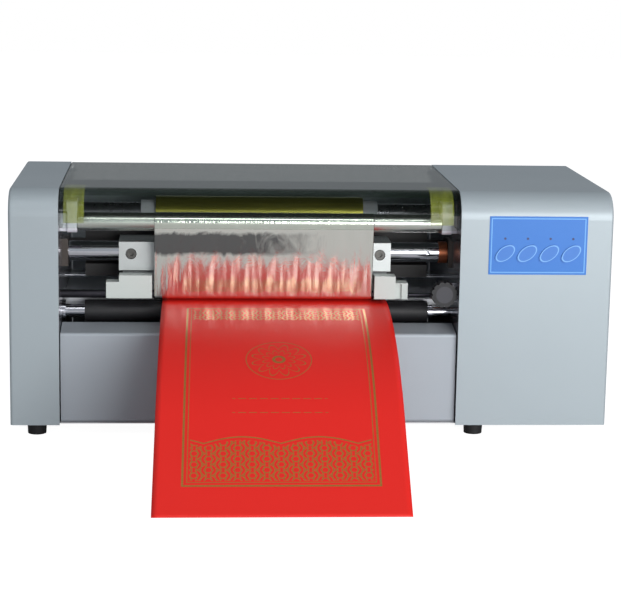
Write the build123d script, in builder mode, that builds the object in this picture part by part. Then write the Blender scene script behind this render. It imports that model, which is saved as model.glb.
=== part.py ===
"""Desk-top hot foil stamper: a plateless printer that presses foil onto card with a thermal head.

Two painted casings stand either side of an open foil bay. A pair of side plates carries every shaft: the head
shaft with its clamp blocks and thermal head, the rubber platen under it, the supply roll at the back, the
take-up tube at the front and the hinged clear cover. The gears and the control gear are in the right casing.

Millimetres. +X runs to the right along the shafts, +Y to the back, +Z up. The origin is the centre of the
footprint on the desk.
"""
import os
from math import acos, asin, atan2, cos, degrees, hypot, pi, radians, sin, tan

from build123d import *

os.makedirs("parts", exist_ok=True)

# ---------------------------------------------------------------- driving dimensions
width = 600.0
depth = 240.0
height = 249.0
foot_height = 13.0
foot_radius = 10.0
left_casing_width = 48.8
right_casing_width = 153.3
nose_radius = 26.0          # rounding along the top front edge of the casings and the cover
edge_radius = 3.0
casing_wall = 2.0
sheet_metal = 1.5
plate_thickness = 4.0
fit_gap = 0.3               # between pieces that lie side by side
running_gap = 0.05          # radial, between a journal and its bush
panel_gap = 1.0             # shown each side of the front panel and the cover

front = -depth / 2
back = depth / 2
bay_left = -width / 2 + left_casing_width
bay_right = width / 2 - right_casing_width
left_plate_outside = bay_left - plate_thickness
right_plate_outside = bay_right + plate_thickness
pan_top = foot_height + sheet_metal
inside = casing_wall + fit_gap      # how far what fits in a casing lies behind its outside

# Foil and card
foil_left = bay_left + 93.5
foil_right = bay_right - 83.8
foil_width = foil_right - foil_left
foil_thickness = 0.2
card_left = foil_left + 8.2
card_width = foil_width + 7.9
card_thickness = 0.4
card_rest = 0.3             # how far the free end of the card lies above the desk

# Shaft axes, as places on the YZ plane
platen_y = front + 56.0
platen_z = height - 130.0
platen_radius = 11.0
head_y = front + 76.0
head_z = height - 71.5
head_shaft_radius = 10.0
take_up_y = front + 39.9
take_up_z = height - 36.0
take_up_radius = 9.2
supply_y = back - 75.0
supply_z = height - 43.8
supply_shaft_radius = 10.0
core_radius = 12.7
foil_roll_radius = 17.0
peel_y = front + 46.0
peel_z = height - 110.8
peel_radius = 4.2
rear_rod_y = back - 90.0
rear_rod_z = height - 110.0
rear_rod_radius = 2.5
hinge_y = back - 9.0
hinge_z = height - 8.0
hinge_pin_radius = 2.0

# The card leaves the nip level, bends down in one arc and runs straight to the desk
card_top = platen_z + platen_radius + fit_gap + card_thickness
web_nip_z = card_top + 0.4
table_top = platen_z + platen_radius


# ---------------------------------------------------------------- helpers
def write(piece, name):
    """Label a finished piece and write it as its own STEP file."""
    piece.part.label = name
    export_step(piece.part, f"parts/{name}.step")


def across(x, y=0.0, z=0.0):
    """A workplane that looks along +X, with its sketch X along +Y and its sketch Y along +Z."""
    return Plane(origin=(x, y, z), x_dir=(0, 1, 0), z_dir=(1, 0, 0))


def rod(x_from, x_to, y, z, radius, mode=Mode.ADD):
    """Add or cut a round bar along X."""
    with BuildSketch(across(x_from, y, z)) as section:
        Circle(radius)
    extrude(to_extrude=section.sketch, amount=x_to - x_from, mode=mode)


def block(x_from, x_to, y_from, y_to, z_from, z_to, mode=Mode.ADD):
    """Add or cut a square-sided block, given its low and high faces."""
    with BuildSketch(Plane.XY.offset(z_from)) as section:
        with Locations(((x_from + x_to) / 2, (y_from + y_to) / 2)):
            Rectangle(x_to - x_from, y_to - y_from)
    extrude(to_extrude=section.sketch, amount=z_to - z_from, mode=mode)


def body_outline(x, inset, low_z):
    """The side outline of the machine, set in from the casings' outside."""
    with BuildSketch(across(x)) as outline:
        high_z = height - inset
        with Locations((0, (low_z + high_z) / 2)):
            Rectangle(depth - 2 * inset, high_z - low_z)
        fillet(outline.vertices().group_by(Axis.Y)[-1].sort_by(Axis.X)[0], nose_radius - inset)
    return outline.sketch


def tangent_ends(y1, z1, r1, y2, z2, r2, side):
    """Ends of the line that touches two circles on the same side: -1 in front of them, +1 behind."""
    along = atan2(z2 - z1, y2 - y1)
    lean = asin((r1 - r2) / hypot(y2 - y1, z2 - z1))
    normal = along - side * (pi / 2 - lean)
    first = (y1 + r1 * cos(normal), z1 + r1 * sin(normal))
    second = (y2 + r2 * cos(normal), z2 + r2 * sin(normal))
    return first, second


def point_tangent(y, z, r, to_y, to_z, side):
    """Where a line from a point touches a circle; side +1 is anticlockwise of the line to the point."""
    angle = atan2(to_z - z, to_y - y) + side * acos(r / hypot(to_y - y, to_z - z))
    return y + r * cos(angle), z + r * sin(angle)


def gear_blank(plane, teeth, module, first_angle, tooth_count=None):
    """Sketch involute teeth round a root disc; a sector has fewer teeth than the full circle."""
    pitch_radius = teeth * module / 2
    base_radius = pitch_radius * cos(radians(20))
    root_radius = pitch_radius - 1.25 * module
    tip_radius = pitch_radius + module
    backlash = 0.12 * module

    def involute(radius):
        angle = acos(min(base_radius / radius, 1))
        return tan(angle) - angle

    half_at_pitch = pi / (2 * teeth) - backlash / (2 * pitch_radius)
    start = max(base_radius, root_radius)
    flank = [(root_radius - 0.3 * module, half_at_pitch + involute(pitch_radius) - involute(start))]
    for radius in (start, tip_radius):
        flank.append((radius, half_at_pitch + involute(pitch_radius) - involute(radius)))
    upper = [(radius * cos(angle), radius * sin(angle)) for radius, angle in flank]
    lower = [(y, -z) for y, z in reversed(upper)]
    count = tooth_count or teeth
    pitch_angle = 360 / teeth
    with BuildSketch(plane) as blank:
        if tooth_count is None:
            Circle(root_radius)
        angles = [first_angle + (index - (tooth_count or 1) // 2) * pitch_angle for index in range(count)]
        for angle in angles:
            with Locations(Location((0, 0, 0), (0, 0, angle))):
                Polygon(*upper, *lower, align=None)
    return blank.sketch


def pulley(x_from, y, z, teeth, bore_radius):
    """Toothed belt pulley with straight-sided grooves."""
    rim_radius = teeth * belt_pitch / (2 * pi) - 0.57
    with BuildSketch(across(x_from, y, z)) as toothed:
        Circle(rim_radius)
        with PolarLocations(rim_radius, teeth):
            Rectangle(2 * groove_depth, groove_width, mode=Mode.SUBTRACT)
        Circle(bore_radius, mode=Mode.SUBTRACT)
    extrude(to_extrude=toothed.sketch, amount=pulley_face)
    return rim_radius


# ---------------------------------------------------------------- casings
key_pitch = 22.2
key_count = 4
first_key_x = bay_right + 44.6
key_z = height - 59.5
key_long = 11.8
key_short = 6.8
key_tilt = 38.0
first_lamp_x = bay_right + 44.2
lamp_pitch = 22.8
lamp_z = height - 44.7
panel_low_x = bay_right + 28.3
panel_width = 98.7
panel_low_z = height - 81.0
panel_height = 58.7
overlay = 0.5
key_places = [first_key_x + index * key_pitch for index in range(key_count)]
lamp_places = [first_lamp_x + index * lamp_pitch for index in range(key_count)]

inlet_x = bay_right + 68.3
inlet_z = height - 161.0
inlet_width = 27.0
inlet_height = 47.0
data_x = width / 2 - 17.0
data_z = inlet_z

with BuildPart() as left_casing:
    extrude(to_extrude=body_outline(-width / 2, 0, foot_height), amount=left_casing_width)
    outside = left_casing.faces().sort_by(Axis.X)[0]
    fillet(outside.edges().filter_by(lambda edge: edge.center().Z > foot_height + 1), edge_radius)
    extrude(to_extrude=body_outline(-width / 2 + casing_wall, casing_wall, foot_height - 1),
            amount=left_casing_width, mode=Mode.SUBTRACT)
write(left_casing, "left_casing")

vent_count = 12
vent_pitch = 8.0
vent_low_z = height - 109.0
vent_length = 46.0
vent_width = 3.0

with BuildPart() as right_casing:
    extrude(to_extrude=body_outline(bay_right, 0, foot_height), amount=right_casing_width)
    outside = right_casing.faces().sort_by(Axis.X)[-1]
    fillet(outside.edges().filter_by(lambda edge: edge.center().Z > foot_height + 1), edge_radius)
    extrude(to_extrude=body_outline(bay_right - 1, casing_wall, foot_height - 1),
            amount=right_casing_width + 1 - casing_wall, mode=Mode.SUBTRACT)
    window_margin = 11.0
    block(key_places[0] - window_margin, key_places[-1] + window_margin, front - 1, front + casing_wall + 1,
          key_z - window_margin, lamp_z + 5, Mode.SUBTRACT)
    block(inlet_x - inlet_width / 2 - 0.2, inlet_x + inlet_width / 2 + 0.2, back - casing_wall - 1, back + 1,
          inlet_z - inlet_height / 2 - 0.2, inlet_z + inlet_height / 2 + 0.2, Mode.SUBTRACT)
    block(data_x - 6.5, data_x + 6.5, back - casing_wall - 1, back + 1, data_z - 6, data_z + 6, Mode.SUBTRACT)
    with BuildSketch(Plane.XZ.offset(-back - 1)):
        with GridLocations(vent_pitch, 0, vent_count, 1):
            with Locations(((bay_right + width / 2) / 2, vent_low_z + vent_length / 2)):
                Rectangle(vent_width, vent_length)
    extrude(amount=casing_wall + 2, mode=Mode.SUBTRACT)
write(right_casing, "right_casing")

# ---------------------------------------------------------------- base pan, feet and screws
pan_front = front + 7.5
pan_back = back - inside
pan_end = width / 2 - casing_wall - fit_gap
flange_height = 14.0
foot_xs = (-width / 2 + 25.0, bay_right + 21.3)
foot_ys = (front + 22.0, back - 22.0)
foot_places = [(x, y) for x in foot_xs for y in foot_ys]

with BuildPart() as base_pan:
    block(-pan_end, pan_end, pan_front, pan_back, foot_height, pan_top)
    for side in (-1, 1):
        flange_out = side * pan_end
        flange_in = side * (pan_end - sheet_metal)
        block(min(flange_out, flange_in), max(flange_out, flange_in), front + 20, back - 20,
              pan_top, foot_height + flange_height)
write(base_pan, "base_pan")

with BuildPart() as rubber_feet:
    with Locations(*foot_places):
        Cone(foot_radius - 0.8, foot_radius, foot_height, align=(Align.CENTER, Align.CENTER, Align.MIN))
write(rubber_feet, "rubber_feet")

side_screw_z = foot_height + 8.0
side_screw_ys = (front + 40.0, back - 40.0)
screw_head_radius = 3.8
screw_head_height = 2.1

with BuildPart() as case_screws:
    for face_x in (-width / 2 - screw_head_height, width / 2):
        with BuildSketch(across(face_x)):
            with Locations(*[(screw_y, side_screw_z) for screw_y in side_screw_ys]):
                RegularPolygon(screw_head_radius, 6)
        extrude(amount=screw_head_height)
write(case_screws, "case_screws")

# ---------------------------------------------------------------- front panel, rear panel and feed table
panel_inset = 6.0
panel_top_z = height - 143.5
ledge_back_y = front + 43.0
ledge_back_z = panel_top_z + 5.0
ledge_lip = 10.0
bend_radius = 3.0
panel_left = bay_left + panel_gap
panel_right = bay_right - panel_gap
panel_y = front + panel_inset

with BuildPart() as front_panel:
    with BuildSketch(across(panel_left)):
        with BuildLine():
            FilletPolyline((panel_y + 16, pan_top), (panel_y, pan_top), (panel_y, panel_top_z),
                           (ledge_back_y, ledge_back_z), (ledge_back_y, ledge_back_z - ledge_lip),
                           radius=bend_radius)
            offset(amount=sheet_metal, side=Side.RIGHT)
        make_face()
    extrude(amount=panel_right - panel_left)
write(front_panel, "front_panel")

rear_panel_y = back - 4.5
rear_panel_top = hinge_z - 11.5
slot_left = card_left - 25
slot_right = card_left + card_width + 25
slot_height = 12.0

with BuildPart() as rear_panel:
    block(bay_left + fit_gap, bay_right - fit_gap, rear_panel_y, rear_panel_y + sheet_metal, pan_top,
          rear_panel_top)
    block(bay_left + fit_gap, bay_right - fit_gap, rear_panel_y - 12, rear_panel_y, pan_top,
          pan_top + sheet_metal)
    block(slot_left, slot_right, rear_panel_y - 1, rear_panel_y + sheet_metal + 1, table_top,
          table_top + slot_height, Mode.SUBTRACT)
write(rear_panel, "rear_panel")

table_front_y = front + 71.0
table_lip = 12.0

with BuildPart() as feed_table:
    block(bay_left + fit_gap, bay_right - fit_gap, table_front_y, rear_panel_y - fit_gap,
          table_top - table_lip, table_top)
    block(bay_left + fit_gap + sheet_metal, bay_right - fit_gap - sheet_metal, table_front_y + sheet_metal,
          rear_panel_y - fit_gap - sheet_metal, table_top - table_lip - 1, table_top - sheet_metal, Mode.SUBTRACT)
    chamfer(feed_table.edges().filter_by(Axis.X).group_by(Axis.Y)[0].sort_by(Axis.Z)[-1], 0.8)
write(feed_table, "feed_table")

# ---------------------------------------------------------------- side plates
bearing_radius = 11.0
take_up_shaft_radius = 4.0
thin_end_radius = 2.0
belt_centres = 62.5
platen_motor_y = platen_y + belt_centres * cos(radians(45))
platen_motor_z = platen_z - belt_centres * sin(radians(45))
plate_foot = 12.0
knob_x = bay_right - 13.7
knob_z = height - 103.7
knob_lug_y = front + 25.0
lug_thickness = 4.0


with BuildPart() as left_side_plate:
    extrude(to_extrude=body_outline(left_plate_outside, inside, pan_top), amount=plate_thickness)
    block(left_plate_outside - plate_foot, left_plate_outside, front + 30, back - 30, pan_top,
          pan_top + plate_thickness)
write(left_side_plate, "left_side_plate")

head_window = 12.0          # half the clearance window round the head shaft
take_up_window = 6.0
motor_slot_half = 15.0      # the platen motor slides back and forth in its slot to tighten the belt

with BuildPart() as right_side_plate:
    extrude(to_extrude=body_outline(bay_right, inside, pan_top), amount=plate_thickness)
    block(right_plate_outside, right_plate_outside + plate_foot, front + 30, back - 30, pan_top,
          pan_top + plate_thickness)
    block(knob_x - 8, bay_right, knob_lug_y, knob_lug_y + lug_thickness, knob_z - 9, knob_z + 9)
    rod(bay_right - 1, right_plate_outside + 1, platen_y, platen_z, bearing_radius, Mode.SUBTRACT)
    block(bay_right - 1, right_plate_outside + 1, head_y - head_window, head_y + head_window,
          head_z - head_window, head_z + head_window, Mode.SUBTRACT)
    block(bay_right - 1, right_plate_outside + 1, take_up_y - take_up_window, take_up_y + take_up_window,
          take_up_z - take_up_window, take_up_z + take_up_window, Mode.SUBTRACT)
    block(bay_right - 1, right_plate_outside + 1, platen_motor_y - motor_slot_half,
          platen_motor_y + motor_slot_half, platen_motor_z - 4, platen_motor_z + 4, Mode.SUBTRACT)
write(right_side_plate, "right_side_plate")

# ---------------------------------------------------------------- rear baffle behind the head shaft
baffle_left = bay_left + 21.2
baffle_right = bay_right - 19.7
baffle_y = head_y + 36.0
baffle_step = 7.0
baffle_low = head_z - 31.5
baffle_shelf = head_z - 17.5
baffle_high = head_z + 18.5
tab_low = head_z - 6.5
tab_high = head_z + 7.5
tab_flange = 10.0

with BuildPart() as rear_baffle:
    with BuildSketch(across(baffle_left)):
        with BuildLine():
            FilletPolyline((baffle_y - baffle_step, baffle_low), (baffle_y - baffle_step, baffle_shelf),
                           (baffle_y, baffle_shelf), (baffle_y, baffle_high), radius=2)
            offset(amount=sheet_metal, side=Side.RIGHT)
        make_face()
    extrude(amount=baffle_right - baffle_left)
    block(bay_left, baffle_left, baffle_y, baffle_y + sheet_metal, tab_low, tab_high)
    block(baffle_right, bay_right, baffle_y, baffle_y + sheet_metal, tab_low, tab_high)
    block(bay_left, bay_left + sheet_metal, baffle_y, baffle_y + tab_flange, tab_low, tab_high)
    block(bay_right - sheet_metal, bay_right, baffle_y, baffle_y + tab_flange, tab_low, tab_high)
write(rear_baffle, "rear_baffle")

# ---------------------------------------------------------------- platen and its drive
belt_pitch = 5.0
groove_depth = 1.5
groove_width = 2.4
pulley_face = 11.0
pulley_x = right_plate_outside + 6.0
platen_teeth = 20
motor_teeth = 10
sleeve_left = bay_left + 23.2
sleeve_right = bay_right - 25.2
core_shaft_radius = 7.0
journal_radius = 5.0
collar_width = 5.5

with BuildPart() as platen_shaft:
    rod(bay_left + fit_gap, sleeve_right + collar_width, platen_y, platen_z, core_shaft_radius)
    rod(sleeve_right + collar_width, pulley_x + pulley_face + 3, platen_y, platen_z, journal_radius)
write(platen_shaft, "platen_shaft")

with BuildPart() as platen_sleeve:
    rod(sleeve_left, sleeve_right, platen_y, platen_z, platen_radius)
    rod(sleeve_left - 1, sleeve_right + 1, platen_y, platen_z, core_shaft_radius, Mode.SUBTRACT)
write(platen_sleeve, "platen_sleeve")

with BuildPart() as platen_bearings:
    for plate_x, bore in ((bay_left, core_shaft_radius), (bay_right, journal_radius)):
        rod(plate_x, plate_x + plate_thickness, platen_y, platen_z, bearing_radius)
        rod(plate_x - 1, plate_x + plate_thickness + 1, platen_y, platen_z, bore + running_gap, Mode.SUBTRACT)
write(platen_bearings, "platen_bearings")

with BuildPart() as platen_pulley:
    platen_rim = pulley(pulley_x, platen_y, platen_z, platen_teeth, journal_radius)
write(platen_pulley, "platen_pulley")

motor_side = 42.3
motor_length = 40.0
motor_shaft_radius = 2.5


def motor_body(face_x, away, y, z, side, length):
    """A square stepper motor whose mounting face lies at face_x; its body runs towards away."""
    with BuildSketch(across(face_x, y, z)) as housing:
        Rectangle(side, side)
        chamfer(housing.vertices(), side * 0.11)
    extrude(to_extrude=housing.sketch, amount=away * length)


with BuildPart() as platen_motor:
    motor_body(bay_right, -1, platen_motor_y, platen_motor_z, motor_side, motor_length)
write(platen_motor, "platen_motor")

with BuildPart() as motor_pulley:
    motor_rim = pulley(pulley_x, platen_motor_y, platen_motor_z, motor_teeth, motor_shaft_radius)
    rod(bay_right + fit_gap, pulley_x + pulley_face, platen_motor_y, platen_motor_z, motor_shaft_radius)
write(motor_pulley, "motor_pulley")

belt_width = 9.0
belt_thickness = 1.5
belt_gap = 0.15


def belt_loop(plane, spread):
    """The loop round both pulleys, outside their rims by spread."""
    rear = tangent_ends(platen_y, platen_z, platen_rim + spread, platen_motor_y, platen_motor_z,
                        motor_rim + spread, 1)
    fore = tangent_ends(platen_y, platen_z, platen_rim + spread, platen_motor_y, platen_motor_z,
                        motor_rim + spread, -1)
    reach = cos(radians(45))
    with BuildSketch(plane) as loop:
        with BuildLine():
            Line(*rear)
            Line(*fore)
            ThreePointArc(rear[0], (platen_y - (platen_rim + spread) * reach,
                                    platen_z + (platen_rim + spread) * reach), fore[0])
            ThreePointArc(rear[1], (platen_motor_y + (motor_rim + spread) * reach,
                                    platen_motor_z - (motor_rim + spread) * reach), fore[1])
        make_face()
    return loop.sketch


with BuildPart() as platen_belt:
    belt_x = pulley_x + (pulley_face - belt_width) / 2
    extrude(to_extrude=belt_loop(across(belt_x), belt_gap + belt_thickness), amount=belt_width)
    extrude(to_extrude=belt_loop(across(belt_x), belt_gap), amount=belt_width, mode=Mode.SUBTRACT)
write(platen_belt, "platen_belt")

# ---------------------------------------------------------------- head shaft, clamp blocks and thermal head
clamp_front = front + 56.0
clamp_back = front + 96.0
clamp_low = head_z - 18.0
clamp_high = head_z + 13.5
clamp_spans = ((foil_left - 36.0, foil_left + 7.7), (foil_right - 7.9, foil_right + 20.1))
clamp_screw_xs = (foil_left - 23.7, foil_right + 9.0)
clamp_head_radius = 5.0
clamp_head_height = 6.0
counterbore_radius = 5.6
counterbore_depth = 6.5
ring_left = bay_right - 12.7
ring_width = 8.8
ring_radius = 11.2
sector_x = right_plate_outside + 12.0
gear_width = 6.0
set_screw_x = bay_right - 23.9

with BuildPart() as head_shaft:
    rod(bay_left + fit_gap, sector_x + gear_width + 3, head_y, head_z, head_shaft_radius)
    with BuildSketch(Plane.XZ.offset(-head_y + head_shaft_radius + 1)):
        with Locations((set_screw_x, head_z + 1)):
            Circle(2)
    extrude(amount=-6, mode=Mode.SUBTRACT)
write(head_shaft, "head_shaft")

bush_half = 14.0

with BuildPart() as head_bushes:
    for low_x, high_x in ((bay_left, bay_left + 6), (ring_left + ring_width + fit_gap, bay_right)):
        block(low_x, high_x, head_y - bush_half, head_y + bush_half, head_z - bush_half, head_z + bush_half)
        rod(low_x - 1, high_x + 1, head_y, head_z, head_shaft_radius + running_gap, Mode.SUBTRACT)
write(head_bushes, "head_bushes")

with BuildPart() as thrust_ring:
    rod(ring_left, ring_left + ring_width, head_y, head_z, ring_radius)
    rod(ring_left - 1, ring_left + ring_width + 1, head_y, head_z, head_shaft_radius, Mode.SUBTRACT)
write(thrust_ring, "thrust_ring")

with BuildPart() as clamp_blocks:
    for low_x, high_x in clamp_spans:
        block(low_x, high_x, clamp_front, clamp_back, clamp_low, clamp_high)
    chamfer(clamp_blocks.edges().filter_by(Axis.X), 1.2)
    for low_x, high_x in clamp_spans:
        rod(low_x - 1, high_x + 1, head_y, head_z, head_shaft_radius, Mode.SUBTRACT)
    with BuildSketch(Plane.XZ.offset(-clamp_front)):
        with Locations(*[(x, head_z) for x in clamp_screw_xs]):
            Circle(counterbore_radius)
    extrude(amount=-counterbore_depth, mode=Mode.SUBTRACT)
write(clamp_blocks, "clamp_blocks")

with BuildPart() as clamp_screws:
    seat_y = clamp_front + counterbore_depth
    with BuildSketch(Plane.XZ.offset(-seat_y)):
        with Locations(*[(x, head_z) for x in clamp_screw_xs]):
            Circle(clamp_head_radius)
    extrude(amount=clamp_head_height)
    with BuildSketch(Plane.XZ.offset(-seat_y + clamp_head_height)):
        with Locations(*[(x, head_z) for x in clamp_screw_xs]):
            RegularPolygon(2.9, 6)
    extrude(amount=-3.5, mode=Mode.SUBTRACT)
write(clamp_screws, "clamp_screws")

carrier_front = front + 64.0
carrier_back = front + 92.0
carrier_low = head_z - 30.5
carrier_left = clamp_spans[0][0] + 3.7
carrier_right = clamp_spans[1][1] - 3.0

with BuildPart() as head_carrier:
    with BuildSketch(across(carrier_left)):
        with BuildLine():
            Polyline((carrier_front, carrier_low), (carrier_back, carrier_low), (carrier_back, clamp_low),
                     (carrier_back - 4, clamp_low), (carrier_back - 4, clamp_low - 3),
                     (carrier_back - 11, clamp_low - 3), (carrier_back - 11, clamp_low),
                     (carrier_front + 9, clamp_low), (carrier_front + 9, clamp_low - 3),
                     (carrier_front + 4, clamp_low - 3), (carrier_front + 4, clamp_low),
                     (carrier_front, clamp_low), close=True)
        make_face()
    extrude(amount=carrier_right - carrier_left)
write(head_carrier, "head_carrier")

# The head leans back from its front lower edge, where the heater line presses foil and card on the platen
head_left = foil_left + 1.7
head_right = foil_right - 1.9
head_lean = 11.5
strip_thickness = 0.8
strip_length = 12.0
tip_y = platen_y - 1.2
tip_z = web_nip_z + foil_thickness / 2 + 0.35
lean_y = cos(radians(head_lean))
lean_z = sin(radians(head_lean))


def on_lean(along, above):
    """A place on the leaning underside of the head."""
    return tip_y + along * lean_y - above * lean_z, tip_z + along * lean_z + above * lean_y


sink_length = 32.0

with BuildPart() as thermal_head:
    with BuildSketch(across(head_left)):
        with BuildLine():
            sink_back = on_lean(sink_length, strip_thickness)
            Polyline(on_lean(0, strip_thickness), sink_back, (sink_back[0], carrier_low),
                     (carrier_front - 2, carrier_low), (on_lean(1.5, 8)), on_lean(0, 6.5), close=True)
        make_face()
        with Locations((sink_back[0] - 2, sink_back[1] + 2.6), (sink_back[0] - 2, sink_back[1] + 5.6)):
            Rectangle(8, 1.4, mode=Mode.SUBTRACT)
    extrude(amount=head_right - head_left)
write(thermal_head, "thermal_head")

with BuildPart() as heater_strip:
    with BuildSketch(across(head_left + 2)):
        with BuildLine():
            Polyline(on_lean(0, 0), on_lean(strip_length, 0), on_lean(strip_length, strip_thickness),
                     on_lean(0, strip_thickness), close=True)
        make_face()
    extrude(amount=head_right - head_left - 4)
write(heater_strip, "heater_strip")

# ---------------------------------------------------------------- gears, drive plate and motors
module = 1.0
sector_full_teeth = 80
sector_teeth = 11
pinion_teeth = 16
take_up_teeth = 40
gear_slack = 0.06
head_motor_angle = -20.0
take_up_motor_angle = -35.0
head_centres = (sector_full_teeth + pinion_teeth) * module / 2 + gear_slack
take_up_centres = (take_up_teeth + pinion_teeth) * module / 2 + gear_slack
head_motor_y = head_y + head_centres * cos(radians(head_motor_angle))
head_motor_z = head_z + head_centres * sin(radians(head_motor_angle))
take_up_motor_y = take_up_y + take_up_centres * cos(radians(take_up_motor_angle))
take_up_motor_z = take_up_z + take_up_centres * sin(radians(take_up_motor_angle))
take_up_gear_x = right_plate_outside + 2.5
drive_plate_x = sector_x + gear_width + 7.0
drive_plate_thickness = 3.0
pillar_half = 4.0
half_pitch_angle = 180 / pinion_teeth
hub_radius = 14.0

with BuildPart() as head_sector:
    sector_plane = across(sector_x, head_y, head_z)
    sector_root = sector_full_teeth * module / 2 - 1.25 * module
    spread = sector_teeth * 360 / sector_full_teeth / 2
    with BuildSketch(sector_plane):
        Circle(hub_radius)
        with BuildLine():
            start_angle = head_motor_angle - spread
            CenterArc((0, 0), sector_root, start_angle, 2 * spread)
            Line((0, 0), (sector_root * cos(radians(start_angle)), sector_root * sin(radians(start_angle))))
            end_angle = head_motor_angle + spread
            Line((0, 0), (sector_root * cos(radians(end_angle)), sector_root * sin(radians(end_angle))))
        make_face()
        add(gear_blank(Plane.XY, sector_full_teeth, module, head_motor_angle, sector_teeth))
    extrude(amount=gear_width)
    rod(sector_x - 1, sector_x + gear_width + 1, head_y, head_z, head_shaft_radius, Mode.SUBTRACT)
write(head_sector, "head_sector")

with BuildPart() as head_pinion:
    pinion_plane = across(sector_x - 1, head_motor_y, head_motor_z)
    gap_angle = head_motor_angle + 180 + half_pitch_angle
    extrude(to_extrude=gear_blank(pinion_plane, pinion_teeth, module, gap_angle), amount=gear_width + 2)
    rod(sector_x - 1, drive_plate_x + drive_plate_thickness - fit_gap, head_motor_y, head_motor_z,
        motor_shaft_radius)
write(head_pinion, "head_pinion")

with BuildPart() as take_up_gear:
    extrude(to_extrude=gear_blank(across(take_up_gear_x, take_up_y, take_up_z), take_up_teeth, module,
                                  take_up_motor_angle), amount=gear_width)
    rod(take_up_gear_x - 1, take_up_gear_x + gear_width + 1, take_up_y, take_up_z, take_up_shaft_radius,
        Mode.SUBTRACT)
write(take_up_gear, "take_up_gear")

with BuildPart() as take_up_pinion:
    pinion_plane = across(take_up_gear_x - 0.5, take_up_motor_y, take_up_motor_z)
    gap_angle = take_up_motor_angle + 180 + half_pitch_angle
    extrude(to_extrude=gear_blank(pinion_plane, pinion_teeth, module, gap_angle), amount=gear_width + 1)
    rod(take_up_gear_x, drive_plate_x + drive_plate_thickness - fit_gap, take_up_motor_y, take_up_motor_z,
        motor_shaft_radius)
write(take_up_pinion, "take_up_pinion")

drive_plate_front = front + 40.0
drive_plate_back = front + 146.0
drive_plate_low = height - 113.0
drive_plate_high = height - 11.0
pillar_places = ((drive_plate_front + 6, drive_plate_low + 6), (drive_plate_back - 6, drive_plate_low + 6),
                 (drive_plate_back - 6, drive_plate_high - 26), (drive_plate_front + 32, drive_plate_high - 6))

with BuildPart() as drive_plate:
    block(drive_plate_x, drive_plate_x + drive_plate_thickness, drive_plate_front, drive_plate_back,
          drive_plate_low, drive_plate_high)
    for pillar_y, pillar_z in pillar_places:
        block(right_plate_outside, drive_plate_x, pillar_y - pillar_half, pillar_y + pillar_half,
              pillar_z - pillar_half, pillar_z + pillar_half)
    for motor_y, motor_z in ((head_motor_y, head_motor_z), (take_up_motor_y, take_up_motor_z)):
        block(drive_plate_x - 1, drive_plate_x + drive_plate_thickness + 1, motor_y - 4, motor_y + 4,
              motor_z - 4, motor_z + 4, Mode.SUBTRACT)
write(drive_plate, "drive_plate")

motor_face_x = drive_plate_x + drive_plate_thickness
small_motor_side = 35.2
small_motor_length = 34.0

with BuildPart() as head_motor:
    motor_body(motor_face_x, 1, head_motor_y, head_motor_z, motor_side, motor_length)
write(head_motor, "head_motor")

with BuildPart() as take_up_motor:
    motor_body(motor_face_x, 1, take_up_motor_y, take_up_motor_z, small_motor_side, small_motor_length)
write(take_up_motor, "take_up_motor")

# ---------------------------------------------------------------- take-up tube and its brackets
bracket_width = 9.5
bracket_left = bay_left + 7.2
bracket_right = bay_right - 14.9
bracket_half_depth = 10.0
bracket_low = take_up_z - 10.0
bracket_split = take_up_z + 11.0
bracket_high = take_up_z + 22.0
tube_left = bracket_left + bracket_width + 0.5
tube_right = bracket_right - 0.5

with BuildPart() as take_up_tube:
    rod(tube_left, tube_right, take_up_y, take_up_z, take_up_radius)
    rod(tube_left - 1, tube_right + 1, take_up_y, take_up_z, take_up_shaft_radius, Mode.SUBTRACT)
write(take_up_tube, "take_up_tube")

with BuildPart() as take_up_shaft:
    rod(bracket_left + fit_gap, take_up_gear_x + gear_width + 2, take_up_y, take_up_z, take_up_shaft_radius)
write(take_up_shaft, "take_up_shaft")

# The shaft drops into a slot in each bracket, and a cap closes the slot
slot_radius = take_up_shaft_radius + running_gap

with BuildPart() as take_up_brackets:
    for low_x, wall_from, wall_to in ((bracket_left, bay_left, bracket_left),
                                      (bracket_right, bracket_right + bracket_width, bay_right)):
        block(low_x, low_x + bracket_width, take_up_y - bracket_half_depth, take_up_y + bracket_half_depth,
              bracket_low, bracket_split)
        block(wall_from, wall_to, take_up_y - bracket_half_depth + 2, take_up_y + bracket_half_depth - 2,
              bracket_low + 1, bracket_split - 2)
    chamfer(take_up_brackets.edges().filter_by(Axis.X).group_by(Axis.Z)[0], 2)
    for slot_from, slot_to in ((bracket_left, bracket_left + bracket_width + 1), (bracket_right - 1, bay_right)):
        rod(slot_from, slot_to, take_up_y, take_up_z, slot_radius, Mode.SUBTRACT)
        block(slot_from, slot_to, take_up_y - slot_radius, take_up_y + slot_radius, take_up_z, bracket_split + 1,
              Mode.SUBTRACT)
write(take_up_brackets, "take_up_brackets")

with BuildPart() as bracket_caps:
    for low_x in (bracket_left, bracket_right):
        block(low_x - 0.5, low_x + bracket_width + 0.5, take_up_y - bracket_half_depth - 0.5,
              take_up_y + bracket_half_depth + 0.5, bracket_split, bracket_high)
    fillet(bracket_caps.edges().filter_by(Axis.X).group_by(Axis.Z)[-1], 3)
write(bracket_caps, "bracket_caps")

# ---------------------------------------------------------------- supply roll
chuck_width = 15.8
chuck_spigot = 9.0
cradle_width = 8.5
cradle_half = 13.0

with BuildPart() as supply_shaft:
    rod(bay_left + fit_gap, bay_right - fit_gap, supply_y, supply_z, supply_shaft_radius)
write(supply_shaft, "supply_shaft")

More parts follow.
